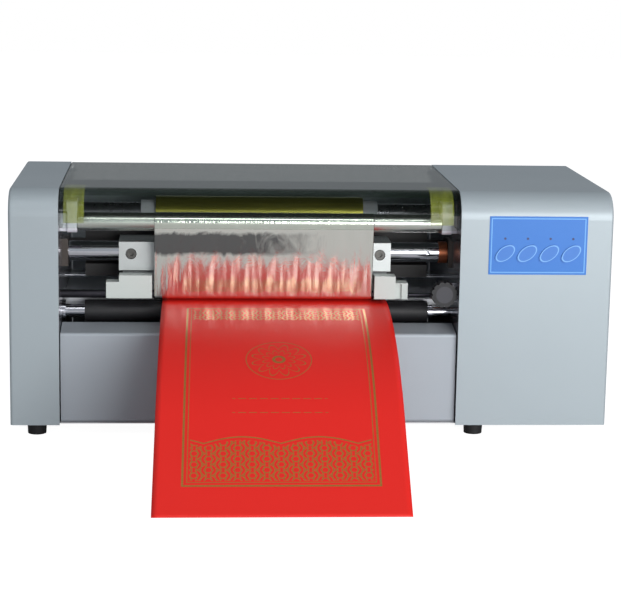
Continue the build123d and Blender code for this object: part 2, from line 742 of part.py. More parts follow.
# Open cradles on the side plates, so the shaft lifts out to change the roll
with BuildPart() as supply_bushes:
    for low_x in (bay_left, bay_right - cradle_width):
        block(low_x, low_x + cradle_width, supply_y - cradle_half, supply_y + cradle_half,
              supply_z - cradle_half - 2, supply_z + 4)
        rod(low_x - 1, low_x + cradle_width + 1, supply_y, supply_z, supply_shaft_radius + running_gap,
            Mode.SUBTRACT)
        block(low_x - 1, low_x + cradle_width + 1, supply_y - supply_shaft_radius - running_gap,
              supply_y + supply_shaft_radius + running_gap, supply_z, supply_z + 5, Mode.SUBTRACT)
write(supply_bushes, "supply_bushes")

core_wall = 2.0

with BuildPart() as foil_core:
    rod(foil_left, foil_right, supply_y, supply_z, core_radius + core_wall)
    rod(foil_left - 1, foil_right + 1, supply_y, supply_z, core_radius, Mode.SUBTRACT)
write(foil_core, "foil_core")

with BuildPart() as foil_roll:
    rod(foil_left, foil_right, supply_y, supply_z, foil_roll_radius)
    rod(foil_left - 1, foil_right + 1, supply_y, supply_z, core_radius + core_wall, Mode.SUBTRACT)
write(foil_roll, "foil_roll")

with BuildPart() as foil_chucks:
    for low_x, high_x in ((foil_left - chuck_width, foil_left + chuck_spigot),
                          (foil_right - chuck_spigot, foil_right + chuck_width)):
        rod(low_x, high_x, supply_y, supply_z, core_radius - 0.1)
        rod(low_x - 1, high_x + 1, supply_y, supply_z, supply_shaft_radius, Mode.SUBTRACT)
write(foil_chucks, "foil_chucks")

# ---------------------------------------------------------------- foil path
guide_front = front + 36.0
guide_back = front + 53.0
guide_low = peel_z - 2.7
guide_step = peel_z + 13.8
guide_high = peel_z + 20.6
left_guide = (foil_left - 48.3, foil_left - 35.3, foil_left - 2.3)
right_guide = (foil_right + 2.1, foil_right + 23.6, foil_right + 36.1)

with BuildPart() as foil_guides:
    outer_x, step_x, inner_x = left_guide
    block(outer_x, inner_x, guide_front, guide_back, guide_low, guide_step)
    block(step_x, inner_x, guide_front, guide_back, guide_step, guide_high)
    inner_x, step_x, outer_x = right_guide
    block(inner_x, outer_x, guide_front, guide_back, guide_low, guide_step)
    block(inner_x, step_x, guide_front, guide_back, guide_step, guide_high)
    block(step_x + 0.3, step_x + 6.3, guide_front - 1, guide_front + 2.5, guide_low - 1, guide_step - 1,
          Mode.SUBTRACT)
    rod(left_guide[0] - 1, right_guide[2] + 1, peel_y, peel_z, peel_radius, Mode.SUBTRACT)
    block(left_guide[0] - 1, right_guide[2] + 1, peel_y - 0.5, peel_y + 0.5, guide_low - 1, peel_z,
          Mode.SUBTRACT)
write(foil_guides, "foil_guides")

with BuildPart() as peel_rod:
    rod(bay_left, right_guide[2], peel_y, peel_z, peel_radius)
    rod(right_guide[2], bay_right, peel_y, peel_z, thin_end_radius)
write(peel_rod, "peel_rod")

with BuildPart() as rear_foil_rod:
    rod(bay_left, bay_right, rear_rod_y, rear_rod_z, rear_rod_radius)
write(rear_foil_rod, "rear_foil_rod")

web_gap = 0.15
spin_gap = 0.3
tube_wrap = take_up_radius + spin_gap
peel_wrap = peel_radius + web_gap
rear_wrap = rear_rod_radius + web_gap
roll_wrap = foil_roll_radius + spin_gap
nip = (platen_y, web_nip_z)
tube_touch, peel_touch = tangent_ends(take_up_y, take_up_z, tube_wrap, peel_y, peel_z, peel_wrap, 1)
peel_leave = point_tangent(peel_y, peel_z, peel_wrap, nip[0], nip[1], -1)
rear_arrive = point_tangent(rear_rod_y, rear_rod_z, rear_wrap, nip[0], nip[1], 1)
rear_leave, roll_touch = tangent_ends(rear_rod_y, rear_rod_z, rear_wrap, supply_y, supply_z, roll_wrap, 1)
tube_top = (take_up_y + tube_wrap * cos(radians(80)), take_up_z + tube_wrap * sin(radians(80)))


with BuildPart() as foil_web:
    with BuildSketch(across(foil_left)):
        with BuildLine() as path:
            ThreePointArc(tube_top, (take_up_y - tube_wrap * cos(radians(45)),
                                     take_up_z + tube_wrap * sin(radians(45))), tube_touch)
            Line(tube_touch, peel_touch)
            ThreePointArc(peel_touch, (peel_y - peel_wrap * sin(radians(50)),
                                       peel_z - peel_wrap * cos(radians(50))), peel_leave)
            Line(peel_leave, nip)
            Line(nip, rear_arrive)
            ThreePointArc(rear_arrive, (rear_rod_y + rear_wrap * cos(radians(-45)),
                                        rear_rod_z + rear_wrap * sin(radians(-45))), rear_leave)
            Line(rear_leave, roll_touch)
            offset(amount=foil_thickness, side=Side.RIGHT)
        make_face()
    extrude(amount=foil_width)
write(foil_web, "foil_web")

# ---------------------------------------------------------------- card
card_tail_y = front + 85.0
bend_start_y = front + 50.0
card_bend_radius = 400.0
card_bend_angle = 33.0
arc_end = (bend_start_y - card_bend_radius * sin(radians(card_bend_angle)),
           card_top - card_bend_radius * (1 - cos(radians(card_bend_angle))))
arc_middle = (bend_start_y - card_bend_radius * sin(radians(card_bend_angle / 2)),
              card_top - card_bend_radius * (1 - cos(radians(card_bend_angle / 2))))
card_drop = card_thickness * cos(radians(card_bend_angle)) + card_rest
straight_run = (arc_end[1] - card_drop) / sin(radians(card_bend_angle))
card_end = (arc_end[0] - straight_run * cos(radians(card_bend_angle)),
            arc_end[1] - straight_run * sin(radians(card_bend_angle)))

with BuildPart() as printed_sheet:
    with BuildSketch(across(card_left)):
        with BuildLine():
            Line((card_tail_y, card_top), (bend_start_y, card_top))
            ThreePointArc((bend_start_y, card_top), arc_middle, arc_end)
            Line(arc_end, card_end)
            offset(amount=card_thickness, side=Side.LEFT)
        make_face()
    extrude(amount=card_width)
write(printed_sheet, "printed_sheet")

# ---------------------------------------------------------------- clear cover
cover_wall = 3.0
cover_front_low = height - 37.0
cover_back = back - 4.0
cover_left = bay_left + panel_gap
cover_right = bay_right - panel_gap
cheek_depth = 26.0
cheek_low = height - 13.0

with BuildPart() as clear_cover:
    with BuildSketch(across(cover_left)) as cover_outline:
        with Locations(((front + cover_back) / 2, (cover_front_low + height) / 2)):
            Rectangle(cover_back - front, height - cover_front_low)
        fillet(cover_outline.vertices().group_by(Axis.Y)[-1].sort_by(Axis.X)[0], nose_radius)
        with Locations(((front + cheek_depth + cover_back) / 2, (cover_front_low + cheek_low) / 2)):
            Rectangle(cover_back - front - cheek_depth, cheek_low - cover_front_low, mode=Mode.SUBTRACT)
    extrude(amount=cover_right - cover_left)
    with BuildSketch(across(cover_left + cover_wall)) as cover_hollow:
        with Locations(((front + cover_wall + cover_back) / 2, (cover_front_low + height - cover_wall) / 2)):
            Rectangle(cover_back - front - cover_wall + 2, height - cover_wall - cover_front_low + 2)
        fillet(cover_hollow.vertices().group_by(Axis.Y)[-1].sort_by(Axis.X)[0], nose_radius - cover_wall)
    extrude(amount=cover_right - cover_left - 2 * cover_wall, mode=Mode.SUBTRACT)
    rod(cover_left - 1, cover_right + 1, hinge_y, hinge_z, hinge_pin_radius + running_gap, Mode.SUBTRACT)
write(clear_cover, "clear_cover")

pin_inside = 6.0

with BuildPart() as cover_pins:
    rod(bay_left, bay_left + pin_inside, hinge_y, hinge_z, hinge_pin_radius)
    rod(bay_right - pin_inside, bay_right, hinge_y, hinge_z, hinge_pin_radius)
write(cover_pins, "cover_pins")

# ---------------------------------------------------------------- control panel
overlay_front = front - overlay
key_seat = 0.3              # from a key at rest to the film that it presses
key_thickness = 0.8
key_end_radius = 4.2
board_y = front + 3.6
board_thickness = 1.6
dome_half = 3.5
lamp_half = 1.2

with BuildPart() as membrane_panel:
    block(panel_low_x, panel_low_x + panel_width, overlay_front, front, panel_low_z, panel_low_z + panel_height)
write(membrane_panel, "membrane_panel")


def oval(plane, half_length, half_breadth, end_radius):
    """A sketch of four tangent arcs: two tight ends and two long sides."""
    end_centre = half_length - end_radius
    side_radius = (end_centre ** 2 + half_breadth ** 2 - end_radius ** 2) / (2 * (half_breadth - end_radius))
    lean = atan2(side_radius - half_breadth, end_centre)
    x, y = end_centre + end_radius * cos(lean), end_radius * sin(lean)
    with BuildSketch(plane) as shape:
        with BuildLine():
            ThreePointArc((x, -y), (half_length, 0), (x, y))
            ThreePointArc((x, y), (0, half_breadth), (-x, y))
            ThreePointArc((-x, y), (-half_length, 0), (-x, -y))
            ThreePointArc((-x, -y), (0, -half_breadth), (x, -y))
        make_face()
    return shape.sketch


key_names = ("stop_key", "test_key", "back_key", "feed_key")
for key_name, key_x in zip(key_names, key_places):
    with BuildPart() as membrane_key:
        key_plane = Plane(origin=(key_x, overlay_front - key_seat, key_z), z_dir=(0, -1, 0),
                          x_dir=(cos(radians(key_tilt)), 0, sin(radians(key_tilt))))
        extrude(to_extrude=oval(key_plane, key_long, key_short, key_end_radius), amount=key_thickness)
    write(membrane_key, key_name)

board_margin = 11.5
board_low_z = key_z - 15.0
board_high_z = lamp_z + 11.0
stand_off_half = 1.5

with BuildPart() as key_board:
    block(key_places[0] - board_margin, key_places[-1] + board_margin, board_y, board_y + board_thickness,
          board_low_z, board_high_z)
    for key_x in key_places:
        block(key_x - dome_half, key_x + dome_half, front + fit_gap, board_y, key_z - dome_half, key_z + dome_half)
    for lamp_x in lamp_places:
        block(lamp_x - lamp_half, lamp_x + lamp_half, front + fit_gap, board_y, lamp_z - lamp_half,
              lamp_z + lamp_half)
    for post_x in (key_places[0] - board_margin + 3, key_places[-1] + board_margin - 3):
        for post_z in (board_low_z + 2, board_high_z - 3):
            block(post_x - stand_off_half, post_x + stand_off_half, front + casing_wall, board_y,
                  post_z - stand_off_half, post_z + stand_off_half)
write(key_board, "key_board")

# ---------------------------------------------------------------- pressure knob
knob_radius = 13.0
knob_front = front + 8.0
knob_back = front + 21.0
knob_hub_back = knob_lug_y - fit_gap
knob_grips = 12

with BuildPart() as pressure_knob:
    with BuildSketch(Plane.XZ.offset(-knob_back)):
        with Locations((knob_x, knob_z)):
            Circle(knob_radius)
            with PolarLocations(knob_radius, knob_grips):
                Rectangle(2.2, 2.2, rotation=45, mode=Mode.SUBTRACT)
    extrude(amount=knob_back - knob_front)
    with BuildSketch(Plane.XZ.offset(-knob_hub_back)):
        with Locations((knob_x, knob_z)):
            Circle(5)
    extrude(amount=knob_hub_back - knob_back)
write(pressure_knob, "pressure_knob")

# ---------------------------------------------------------------- mains inlet with its rocker
bezel = 2.0
bezel_lap = 2.5
module_depth = 24.0
recess_width = 24.0
recess_height = 17.0
recess_depth = 16.0
recess_z = inlet_z - inlet_height / 2 + 3 + recess_height / 2
rocker_z = inlet_z + inlet_height / 2 - 12.5
rocker_half_height = 8.8
rocker_width = 12.0
window_half_height = 10.3
rocker_axis_y = back - 2.0
rocker_belly = 6.0
rocker_tilt = 8.0

with BuildPart() as mains_inlet:
    block(inlet_x - inlet_width / 2, inlet_x + inlet_width / 2, back - module_depth, back,
          inlet_z - inlet_height / 2, inlet_z + inlet_height / 2)
    with BuildSketch(Plane.XZ.offset(-back)):
        with Locations((inlet_x, inlet_z)):
            Rectangle(inlet_width + 2 * bezel_lap, inlet_height + 2 * bezel_lap)
    extrude(amount=-bezel)
    block(inlet_x - recess_width / 2, inlet_x + recess_width / 2, back + bezel - recess_depth, back + bezel + 1,
          recess_z - recess_height / 2, recess_z + recess_height / 2, Mode.SUBTRACT)
    for pin_x, pin_z in ((inlet_x - 7, recess_z - 3), (inlet_x + 7, recess_z - 3), (inlet_x, recess_z + 3)):
        block(pin_x - 1, pin_x + 1, back + bezel - recess_depth, back + bezel - 2, pin_z - 2, pin_z + 2)
    block(inlet_x - rocker_width / 2 - 0.5, inlet_x + rocker_width / 2 + 0.5, back - 9, back + bezel + 1,
          rocker_z - window_half_height, rocker_z + window_half_height, Mode.SUBTRACT)
write(mains_inlet, "mains_inlet")

with BuildPart() as power_rocker:
    rocker_plane = Plane(origin=(inlet_x - rocker_width / 2, rocker_axis_y, rocker_z), z_dir=(1, 0, 0),
                         x_dir=(0, cos(radians(rocker_tilt)), sin(radians(rocker_tilt))))
    with BuildSketch(rocker_plane):
        with BuildLine():
            Polyline((0, -rocker_belly), (6.8, -rocker_half_height), (4.4, 0), (6.8, rocker_half_height),
                     (0, rocker_belly))
            ThreePointArc((0, rocker_belly), (-rocker_belly, 0), (0, -rocker_belly))
        make_face()
    extrude(amount=rocker_width)
write(power_rocker, "power_rocker")

# ---------------------------------------------------------------- power supply and control board
supply_box_left = bay_right + 48.3
supply_box_right = width / 2 - 12.0
supply_box_front = front + 90.0
supply_box_back = back - 30.0
supply_box_height = 38.0

with BuildPart() as power_supply:
    block(supply_box_left, supply_box_right, supply_box_front, supply_box_back, pan_top,
          pan_top + supply_box_height)
    block(supply_box_left + 1.5, supply_box_right - 1.5, supply_box_front + 1.5, supply_box_back - 1.5,
          pan_top - 1, pan_top + supply_box_height - 1.5, Mode.SUBTRACT)
    with BuildSketch(Plane.XY.offset(pan_top + supply_box_height - 2)):
        with Locations(((supply_box_left + supply_box_right) / 2, (supply_box_front + supply_box_back) / 2)):
            with GridLocations(11, 0, 6, 1):
                Rectangle(4, 80)
    extrude(amount=4, mode=Mode.SUBTRACT)
write(power_supply, "power_supply")

board_x = width / 2 - casing_wall - 10.0
control_front = back - 130.0
control_back = back - 5.0
control_low = height - 183.0
control_high = height - 73.0

with BuildPart() as control_board:
    block(board_x - 1.6, board_x, control_front, control_back, control_low, control_high)
    for post_y in (control_front + 6, control_back - 6):
        for post_z in (control_low + 6, control_high - 6):
            block(board_x, width / 2 - casing_wall, post_y - 3, post_y + 3, post_z - 3, post_z + 3)
    block(board_x - 16, board_x - 1.6, control_front + 20, control_front + 50, control_low + 60,
          control_low + 85)
    block(board_x - 5, board_x - 1.6, control_front + 65, control_front + 85, control_low + 55,
          control_low + 75)
    block(board_x - 12, board_x - 1.6, control_front + 10, control_front + 18, control_low + 10,
          control_low + 48)
    rod(board_x - 17, board_x - 1.6, control_back - 50, control_low + 30, 6)
    block(data_x - 6, board_x - 1.6, back - 18, back - 0.5, data_z - 5.5, data_z + 5.5)
    block(data_x - 4.5, data_x + 2, back - 12, back + 1, data_z - 4, data_z + 4, Mode.SUBTRACT)
    block(data_x - 2.5, data_x, back - 12, back - 3, data_z - 2, data_z + 2)
write(control_board, "control_board")
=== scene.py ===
"""Looks for the desk-top hot foil stamper, piece by piece in the order it is put together."""
import math
import bmesh
import bpy
from mathutils import Matrix, Vector


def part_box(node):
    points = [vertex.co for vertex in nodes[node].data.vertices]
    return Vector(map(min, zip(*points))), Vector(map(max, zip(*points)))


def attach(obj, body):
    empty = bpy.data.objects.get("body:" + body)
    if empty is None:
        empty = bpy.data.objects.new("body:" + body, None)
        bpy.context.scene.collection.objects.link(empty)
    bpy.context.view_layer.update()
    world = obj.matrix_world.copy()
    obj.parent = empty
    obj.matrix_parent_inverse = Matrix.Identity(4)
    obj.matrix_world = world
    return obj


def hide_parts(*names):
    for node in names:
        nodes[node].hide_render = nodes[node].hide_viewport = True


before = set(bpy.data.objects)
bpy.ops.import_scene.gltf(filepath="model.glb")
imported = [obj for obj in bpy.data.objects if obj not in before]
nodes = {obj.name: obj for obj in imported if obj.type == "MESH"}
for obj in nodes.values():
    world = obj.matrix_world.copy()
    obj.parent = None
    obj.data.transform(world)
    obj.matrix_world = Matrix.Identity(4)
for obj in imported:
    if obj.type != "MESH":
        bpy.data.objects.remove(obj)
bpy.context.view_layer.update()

# ---- Casings
# The two end casings are bent and welded sheet steel with a silver-grey powder coat. They stand on the base
# pan and each is held by two screws low on its outer side.


class Term:
    """A value in a material, written in sums: each operator adds one Math node."""

    def __init__(self, finish, socket):
        self.finish = finish
        self.socket = socket

    def join(self, operation, *others, clamp=False):
        node = self.finish.nodes.new("ShaderNodeMath")
        node.operation = operation
        node.use_clamp = clamp
        for index, value in enumerate((self, *others)):
            self.finish.give(node.inputs[index], value)
        return Term(self.finish, node.outputs[0])

    def __add__(self, other):
        return self.join("ADD", other)

    def __radd__(self, other):
        return self.join("ADD", other)

    def __sub__(self, other):
        return self.join("SUBTRACT", other)

    def __rsub__(self, other):
        return (self * -1) + other

    def __mul__(self, other):
        return self.join("MULTIPLY", other)

    def __rmul__(self, other):
        return self.join("MULTIPLY", other)

    def __truediv__(self, other):
        return self.join("DIVIDE", other)

    def __pow__(self, other):
        return self.join("POWER", other)

    def size(self):
        return self.join("ABSOLUTE")

    def sine(self):
        return self.join("SINE")

    def low(self, other):
        return self.join("MINIMUM", other)

    def high(self, other):
        return self.join("MAXIMUM", other)

    def wrap(self, period):
        return self.join("PINGPONG", period)

    def below(self, limit, soft):
        """1 where the value is under the limit, 0 above it, with a soft edge."""
        return ((self * -1 + limit) / soft + 0.5).join("ADD", 0, clamp=True)

    def above(self, limit, soft):
        return 1 - self.below(limit, soft)


class Finish:
    """A material round one Principled shader, whose constant sockets are set by name."""

    first_colour, second_colour, mixed_colour = 6, 7, 2     # where the Mix node keeps its colours

    def __init__(self, name, **sockets):
        self.material = bpy.data.materials.new(name)
        self.material.use_nodes = True
        self.nodes = self.material.node_tree.nodes
        self.links = self.material.node_tree.links
        self.shader = self.nodes["Principled BSDF"]
        for key, value in sockets.items():
            self.shader.inputs[key.replace("_", " ")].default_value = value

    def give(self, socket, value):
        """Set a socket to a number or colour, or link a term to it."""
        if isinstance(value, Term):
            self.links.new(value.socket, socket)
        else:
            socket.default_value = value

    def node(self, kind, settings=None, output=0, **values):
        """Add a node, apply its settings, give its sockets, and return one output."""
        made = self.nodes.new(kind)
        for key, value in (settings or {}).items():
            setattr(made, key, value)
        for key, value in values.items():
            self.give(made.inputs[key.replace("_", " ")], value)
        return Term(self, made.outputs[output])

    def place(self, stretch=(1, 1, 1)):
        """Object coordinates in metres, stretched along each axis."""
        where = self.node("ShaderNodeTexCoord", output="Object")
        return self.node("ShaderNodeMapping", Vector=where, Scale=stretch)

    def axes(self, where=None):
        """The X, Y and Z of a place, as three terms."""
        split = self.nodes.new("ShaderNodeSeparateXYZ")
        self.give(split.inputs[0], where or self.place())
        return [Term(self, output) for output in split.outputs]

    def noise(self, scale, stretch=(1, 1, 1), detail=2, rough=0.5, warp=0.0):
        return self.node("ShaderNodeTexNoise", Vector=self.place(stretch), Scale=scale, Detail=detail,
                         Roughness=rough, Distortion=warp)

    def blend(self, factor, low, high):
        """A colour between two colours."""
        mix = self.nodes.new("ShaderNodeMix")
        mix.data_type = "RGBA"
        self.give(mix.inputs[0], factor)
        self.give(mix.inputs[self.first_colour], low)
        self.give(mix.inputs[self.second_colour], high)
        return Term(self, mix.outputs[self.mixed_colour])

    def feed(self, **values):
        for key, value in values.items():
            self.give(self.shader.inputs[key.replace("_", " ")], value)
        return self

    def bump(self, height, depth):
        """Raise the surface by height, a term from 0 to 1, times depth in metres."""
        normal = self.node("ShaderNodeBump", Height=height, Distance=depth, Strength=1.0)
        self.give(self.shader.inputs["Normal"], normal)
        return self

    def wear(self, *names):
        """Put this finish on CAD nodes."""
        for name in names:
            for material_slot in nodes[name].material_slots:
                material_slot.material = self.material
        return self


def shade(red, green, blue):
    """A colour given as screen values from 0 to 255, for a shader."""
    def linear(value):
        value /= 255
        return value / 12.92 if value < 0.04045 else ((value + 0.055) / 1.055) ** 2.4
    return (linear(red), linear(green), linear(blue), 1.0)


def powder_coat(name, colour, metal, roughness):
    """Sprayed metallic paint: fine orange peel, faint mottling and a few rubbed smears."""
    paint = Finish(name, Metallic=metal, Specular_IOR_Level=0.35)
    mottle = paint.noise(9, detail=4)
    flake = paint.noise(5200, detail=1)
    smear = paint.noise(14, stretch=(1, 1, 0.25), detail=6, rough=0.65)
    dark = tuple(value * 0.93 for value in colour[:3]) + (1,)
    light = tuple(min(value * 1.06, 1) for value in colour[:3]) + (1,)
    paint.feed(Base_Color=paint.blend(mottle * 0.6 + flake * 0.4, dark, light),
               Roughness=smear * 0.10 + (roughness - 0.05))
    peel = paint.noise(900, detail=2) * 0.6 + flake * 0.4
    return paint.bump(peel, 0.00003)


casing_grey = shade(164, 174, 179)
casing_paint = powder_coat("casing_paint", casing_grey, 0.25, 0.42)
casing_paint.wear("left_casing", "right_casing")

# ---- Base pan, feet and screws
# A zinc-plated tray closes the underside. The four feet are moulded rubber, and the case screws show
# zinc-plated hexagon heads.


def plated_sheet(name, colour, roughness):
    """Zinc plate: pale with cloudy spangle and fine rolling lines."""
    plate = Finish(name, Metallic=1.0)
    cloud = plate.noise(55, detail=3)
    line = plate.noise(420, stretch=(0.02, 1, 1), detail=2)
    dark = tuple(value * 0.8 for value in colour[:3]) + (1,)
    plate.feed(Base_Color=plate.blend(cloud, dark, colour), Roughness=line * 0.15 + (roughness - 0.07))
    return plate.bump(line, 0.00001)


plated_sheet("zinc_plate", shade(190, 191, 194), 0.38).wear("base_pan", "drive_plate", "power_supply")
plated_sheet("screw_zinc", shade(170, 170, 168), 0.3).wear("case_screws")


def moulded_rubber(name, colour, roughness):
    """Rubber with a dull skin, dust in its grain and a slight bloom."""
    rubber = Finish(name, Specular_IOR_Level=0.35)
    grain = rubber.noise(1400, detail=3)
    bloom = rubber.noise(35, detail=4, rough=0.6)
    pale = tuple(value + 0.012 for value in colour[:3]) + (1,)
    rubber.feed(Base_Color=rubber.blend(bloom, colour, pale), Roughness=grain * 0.15 + (roughness - 0.08))
    return rubber.bump(grain, 0.00002)


moulded_rubber("foot_rubber", shade(22, 22, 24), 0.62).wear("rubber_feet")

# ---- Front panel, rear panel and feed table
# The bay is closed below by a bent steel panel with a sloping ledge, and behind by a flat panel with the card
# slot. Both have the casings' paint. The feed table is a milled aluminium tray.
panel_paint = powder_coat("panel_paint", shade(164, 171, 178), 0.25, 0.45)
panel_paint.wear("front_panel", "rear_panel")


def milled_aluminium(name, colour, roughness):
    """Machined aluminium with tool lines along X and cloudy oxide."""
    metal = Finish(name, Metallic=1.0)
    tool = metal.noise(900, stretch=(0.03, 1, 1), detail=3)
    oxide = metal.noise(45, detail=4)
    dull = tuple(value * 0.82 for value in colour[:3]) + (1,)
    metal.feed(Base_Color=metal.blend(oxide, dull, colour), Roughness=tool * 0.16 + (roughness - 0.08))
    return metal.bump(tool, 0.00001)


milled_aluminium("table_aluminium", shade(205, 207, 210), 0.34).wear("feed_table")

# ---- Side plates
# The two plates that close the sides of the bay and carry every shaft. They are smooth and dark anodised, so
# they mirror the shafts faintly.
plate_finish = Finish("side_plate_anodised", Metallic=0.75)
plate_haze = plate_finish.noise(24, detail=4)
plate_finish.feed(Base_Color=plate_finish.blend(plate_haze, shade(126, 127, 134), shade(150, 150, 158)),
                  Roughness=plate_haze * 0.10 + 0.16)
plate_finish.wear("left_side_plate", "right_side_plate")

# ---- Rear baffle
# A thin folded plate behind the head shaft, between the two side plates. It is painted matt black and a
# little dusty.
baffle_finish = Finish("baffle_black")
baffle_dust = baffle_finish.noise(70, stretch=(0.3, 1, 1), detail=4)
baffle_finish.feed(Base_Color=baffle_finish.blend(baffle_dust, shade(20, 19, 20), shade(38, 35, 35)),
                   Roughness=baffle_dust * 0.2 + 0.4)
baffle_finish.wear("rear_baffle")

# ---- Platen and its drive
# A ground steel shaft with a black rubber sleeve, turning in two bearing rings. A belt drives it from the
# motor under the table.


def ground_steel(name, colour, roughness):
    """Turned and polished bar: fine rings round the bar and a soft bloom."""
    bar = Finish(name, Metallic=1.0)
    ring = bar.noise(1500, stretch=(1, 0.02, 0.02), detail=2)
    bloom = bar.noise(30, detail=3)
    dull = tuple(value * 0.86 for value in colour[:3]) + (1,)
    bar.feed(Base_Color=bar.blend(bloom, dull, colour), Roughness=ring * 0.08 + (roughness - 0.04))
    return bar.bump(ring, 0.000006)


ground_steel("bright_shaft", shade(214, 214, 220), 0.12).wear(
    "platen_shaft", "head_shaft", "take_up_shaft", "rear_foil_rod", "platen_bearings", "cover_pins")
moulded_rubber("platen_rubber", shade(20, 20, 23), 0.5).wear("platen_sleeve")
moulded_rubber("belt_rubber", shade(24, 24, 25), 0.6).wear("platen_belt")
milled_aluminium("pulley_aluminium", shade(196, 198, 200), 0.3).wear("platen_pulley", "motor_pulley")

# ---- Motors
# Three square motors, each one block with chamfered corners. They are lacquered black, and a fine bump shows
# the edges of the stator's sheets.
motor_finish = Finish("motor_lacquer")
motor_grain = motor_finish.noise(600, detail=2)
stack = motor_finish.axes()[0].wrap(0.0005) * 2000
motor_finish.feed(Base_Color=motor_finish.blend(motor_grain, shade(24, 24, 26), shade(44, 44, 46)),
                  Roughness=motor_grain * 0.2 + 0.35)
motor_finish.bump(stack, 0.00004)
motor_finish.wear("platen_motor", "head_motor", "take_up_motor")

# ---- Head
# Two milled clamp blocks with socket screws sit on the shaft and carry the bar with the thermal head. The
# head is aluminium with a glazed ceramic heater strip under it.
milled_aluminium("clamp_aluminium", shade(196, 200, 199), 0.42).wear("clamp_blocks")
milled_aluminium("carrier_aluminium", shade(176, 180, 182), 0.4).wear("head_carrier", "thermal_head")
plated_sheet("socket_screw_zinc", shade(104, 103, 100), 0.3).wear("clamp_screws")
heater_glaze = Finish("heater_glaze", Roughness=0.12)
heater_glaze.feed(Base_Color=heater_glaze.blend(heater_glaze.noise(160, detail=3), shade(214, 211, 202),
                                               shade(232, 230, 224)))
heater_glaze.wear("heater_strip")


def bearing_bronze(name, colour):
    """Sintered bronze, warm and slightly porous."""
    bronze = Finish(name, Metallic=0.85)
    pore = bronze.noise(2600, detail=2)
    oil = bronze.noise(90, detail=3)
    dark = tuple(value * 0.6 for value in colour[:3]) + (1,)
    bronze.feed(Base_Color=bronze.blend(oil, dark, colour), Roughness=pore * 0.2 + 0.3)
    return bronze.bump(pore, 0.00002)


bearing_bronze("ring_bronze", shade(188, 112, 78)).wear("thrust_ring")
bearing_bronze("bush_bronze", shade(88, 82, 78)).wear("head_bushes")

# ---- Gears
# The head's sector and the two pinions are blackened steel with rubbed, brighter patches. The take-up gear is
# moulded acetal.


def blackened_steel(name, colour, roughness):
    """Oil-blackened steel with rubbed, brighter patches."""
    steel = Finish(name, Metallic=0.9)
    rub = steel.noise(120, detail=4, rough=0.6)
    bright = tuple(value * 1.8 + 0.01 for value in colour[:3]) + (1,)
    steel.feed(Base_Color=steel.blend(rub, colour, bright), Roughness=rub * 0.15 + (roughness - 0.07))
    return steel


blackened_steel("gear_steel", shade(74, 74, 78), 0.35).wear("head_sector", "head_pinion", "take_up_pinion")


def moulded_plastic(name, colour, roughness):
    """Injection-moulded plastic: even colour, fine texture and faint flow marks."""
    plastic = Finish(name, Specular_IOR_Level=0.45)
    flow = plastic.noise(40, detail=4)
    skin = plastic.noise(1800, detail=2)
    dark = tuple(value * 0.92 for value in colour[:3]) + (1,)
    plastic.feed(Base_Color=plastic.blend(flow, dark, colour), Roughness=skin * 0.12 + (roughness - 0.06))
    return plastic.bump(skin, 0.00001)


moulded_plastic("gear_acetal", shade(226, 223, 212), 0.4).wear("take_up_gear")

# ---- Take-up tube and its brackets
# A polished aluminium tube on a steel shaft. The shaft lies in the slots of two white nylon brackets, and a
# cap closes each slot.
tube_finish = Finish("tube_aluminium", Metallic=1.0)
tube_ring = tube_finish.noise(700, stretch=(1, 0.02, 0.02), detail=2)
tube_finish.feed(Base_Color=tube_finish.blend(tube_ring, shade(206, 205, 198), shade(232, 231, 226)),
                 Roughness=tube_ring * 0.08 + 0.2)
tube_finish.wear("take_up_tube")
moulded_plastic("white_nylon", shade(216, 217, 226), 0.42).wear(
    "take_up_brackets", "bracket_caps", "foil_chucks", "supply_bushes")

# ---- Supply roll
# Unused foil wound on a card core, held between two nylon chucks. Their dark steel shaft lies in two open
# white cradles.
blackened_steel("supply_shaft_steel", shade(96, 94, 100), 0.28).wear("supply_shaft")
core_card = Finish("core_card", Roughness=0.85)
core_card.feed(Base_Color=core_card.blend(core_card.noise(700, detail=3), shade(140, 112, 78),
                                         shade(168, 138, 100)))
core_card.wear("foil_core")
roll_finish = Finish("wound_foil", Metallic=0.85)
roll_band = roll_finish.noise(260, stretch=(0.03, 1, 1), detail=4, rough=0.7)
roll_patch = roll_finish.noise(26, detail=3)
roll_tone = roll_band * 0.75 + roll_patch * 0.25
roll_finish.feed(Base_Color=roll_finish.blend(roll_tone, shade(96, 88, 30), shade(208, 200, 96)),
                 Roughness=roll_band * 0.2 + 0.22)
roll_finish.bump(roll_band, 0.00008)
roll_finish.wear("foil_roll")

# ---- Foil guides and rods
# Two pale moulded blocks sit on a blackened rod in front of the head and keep the foil's edges in line. The
# rear rod has the shafts' bright steel.
moulded_plastic("guide_plastic", shade(200, 207, 203), 0.4).wear("foil_guides")
blackened_steel("rod_steel", shade(38, 37, 42), 0.32).wear("peel_rod")

